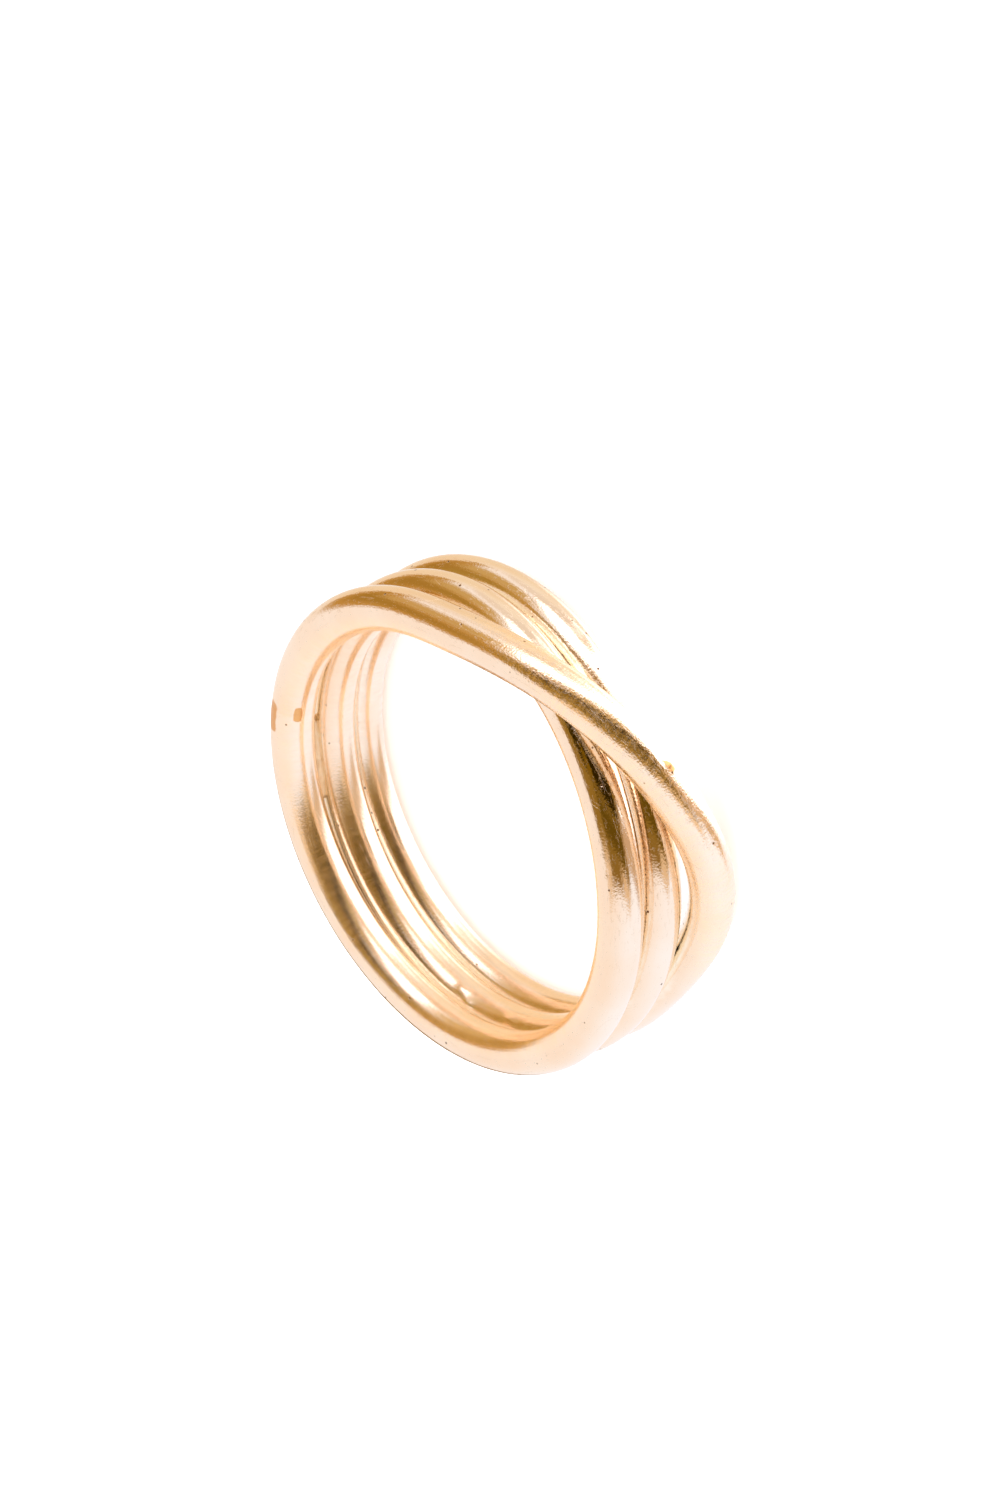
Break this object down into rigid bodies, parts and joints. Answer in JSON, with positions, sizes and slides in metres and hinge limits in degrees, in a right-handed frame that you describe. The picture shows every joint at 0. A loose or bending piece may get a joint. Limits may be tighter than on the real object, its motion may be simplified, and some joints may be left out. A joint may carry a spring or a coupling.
{
  "type": "spiral ring",
  "caption": "Finger ring of round gold-filled wire, wound in side-by-side turns, with one turn crossing diagonally over the others.",
  "frame": {"origin": "centre of the ring's box, on the surface that the ring lies on", "axes": "+Z along the finger hole, up from the turn that the ring rests on; -Y towards the crossing of the turns"},
  "size_m": [0.0206, 0.0218, 0.0059],
  "materials": {
    "gold_wire": "polished gold-filled wire, with fine lengthwise drawing lines and light wear"
  },
  "bodies": {
    "root": {"ring_wire": "gold_wire"}
  },
  "joints": []
}
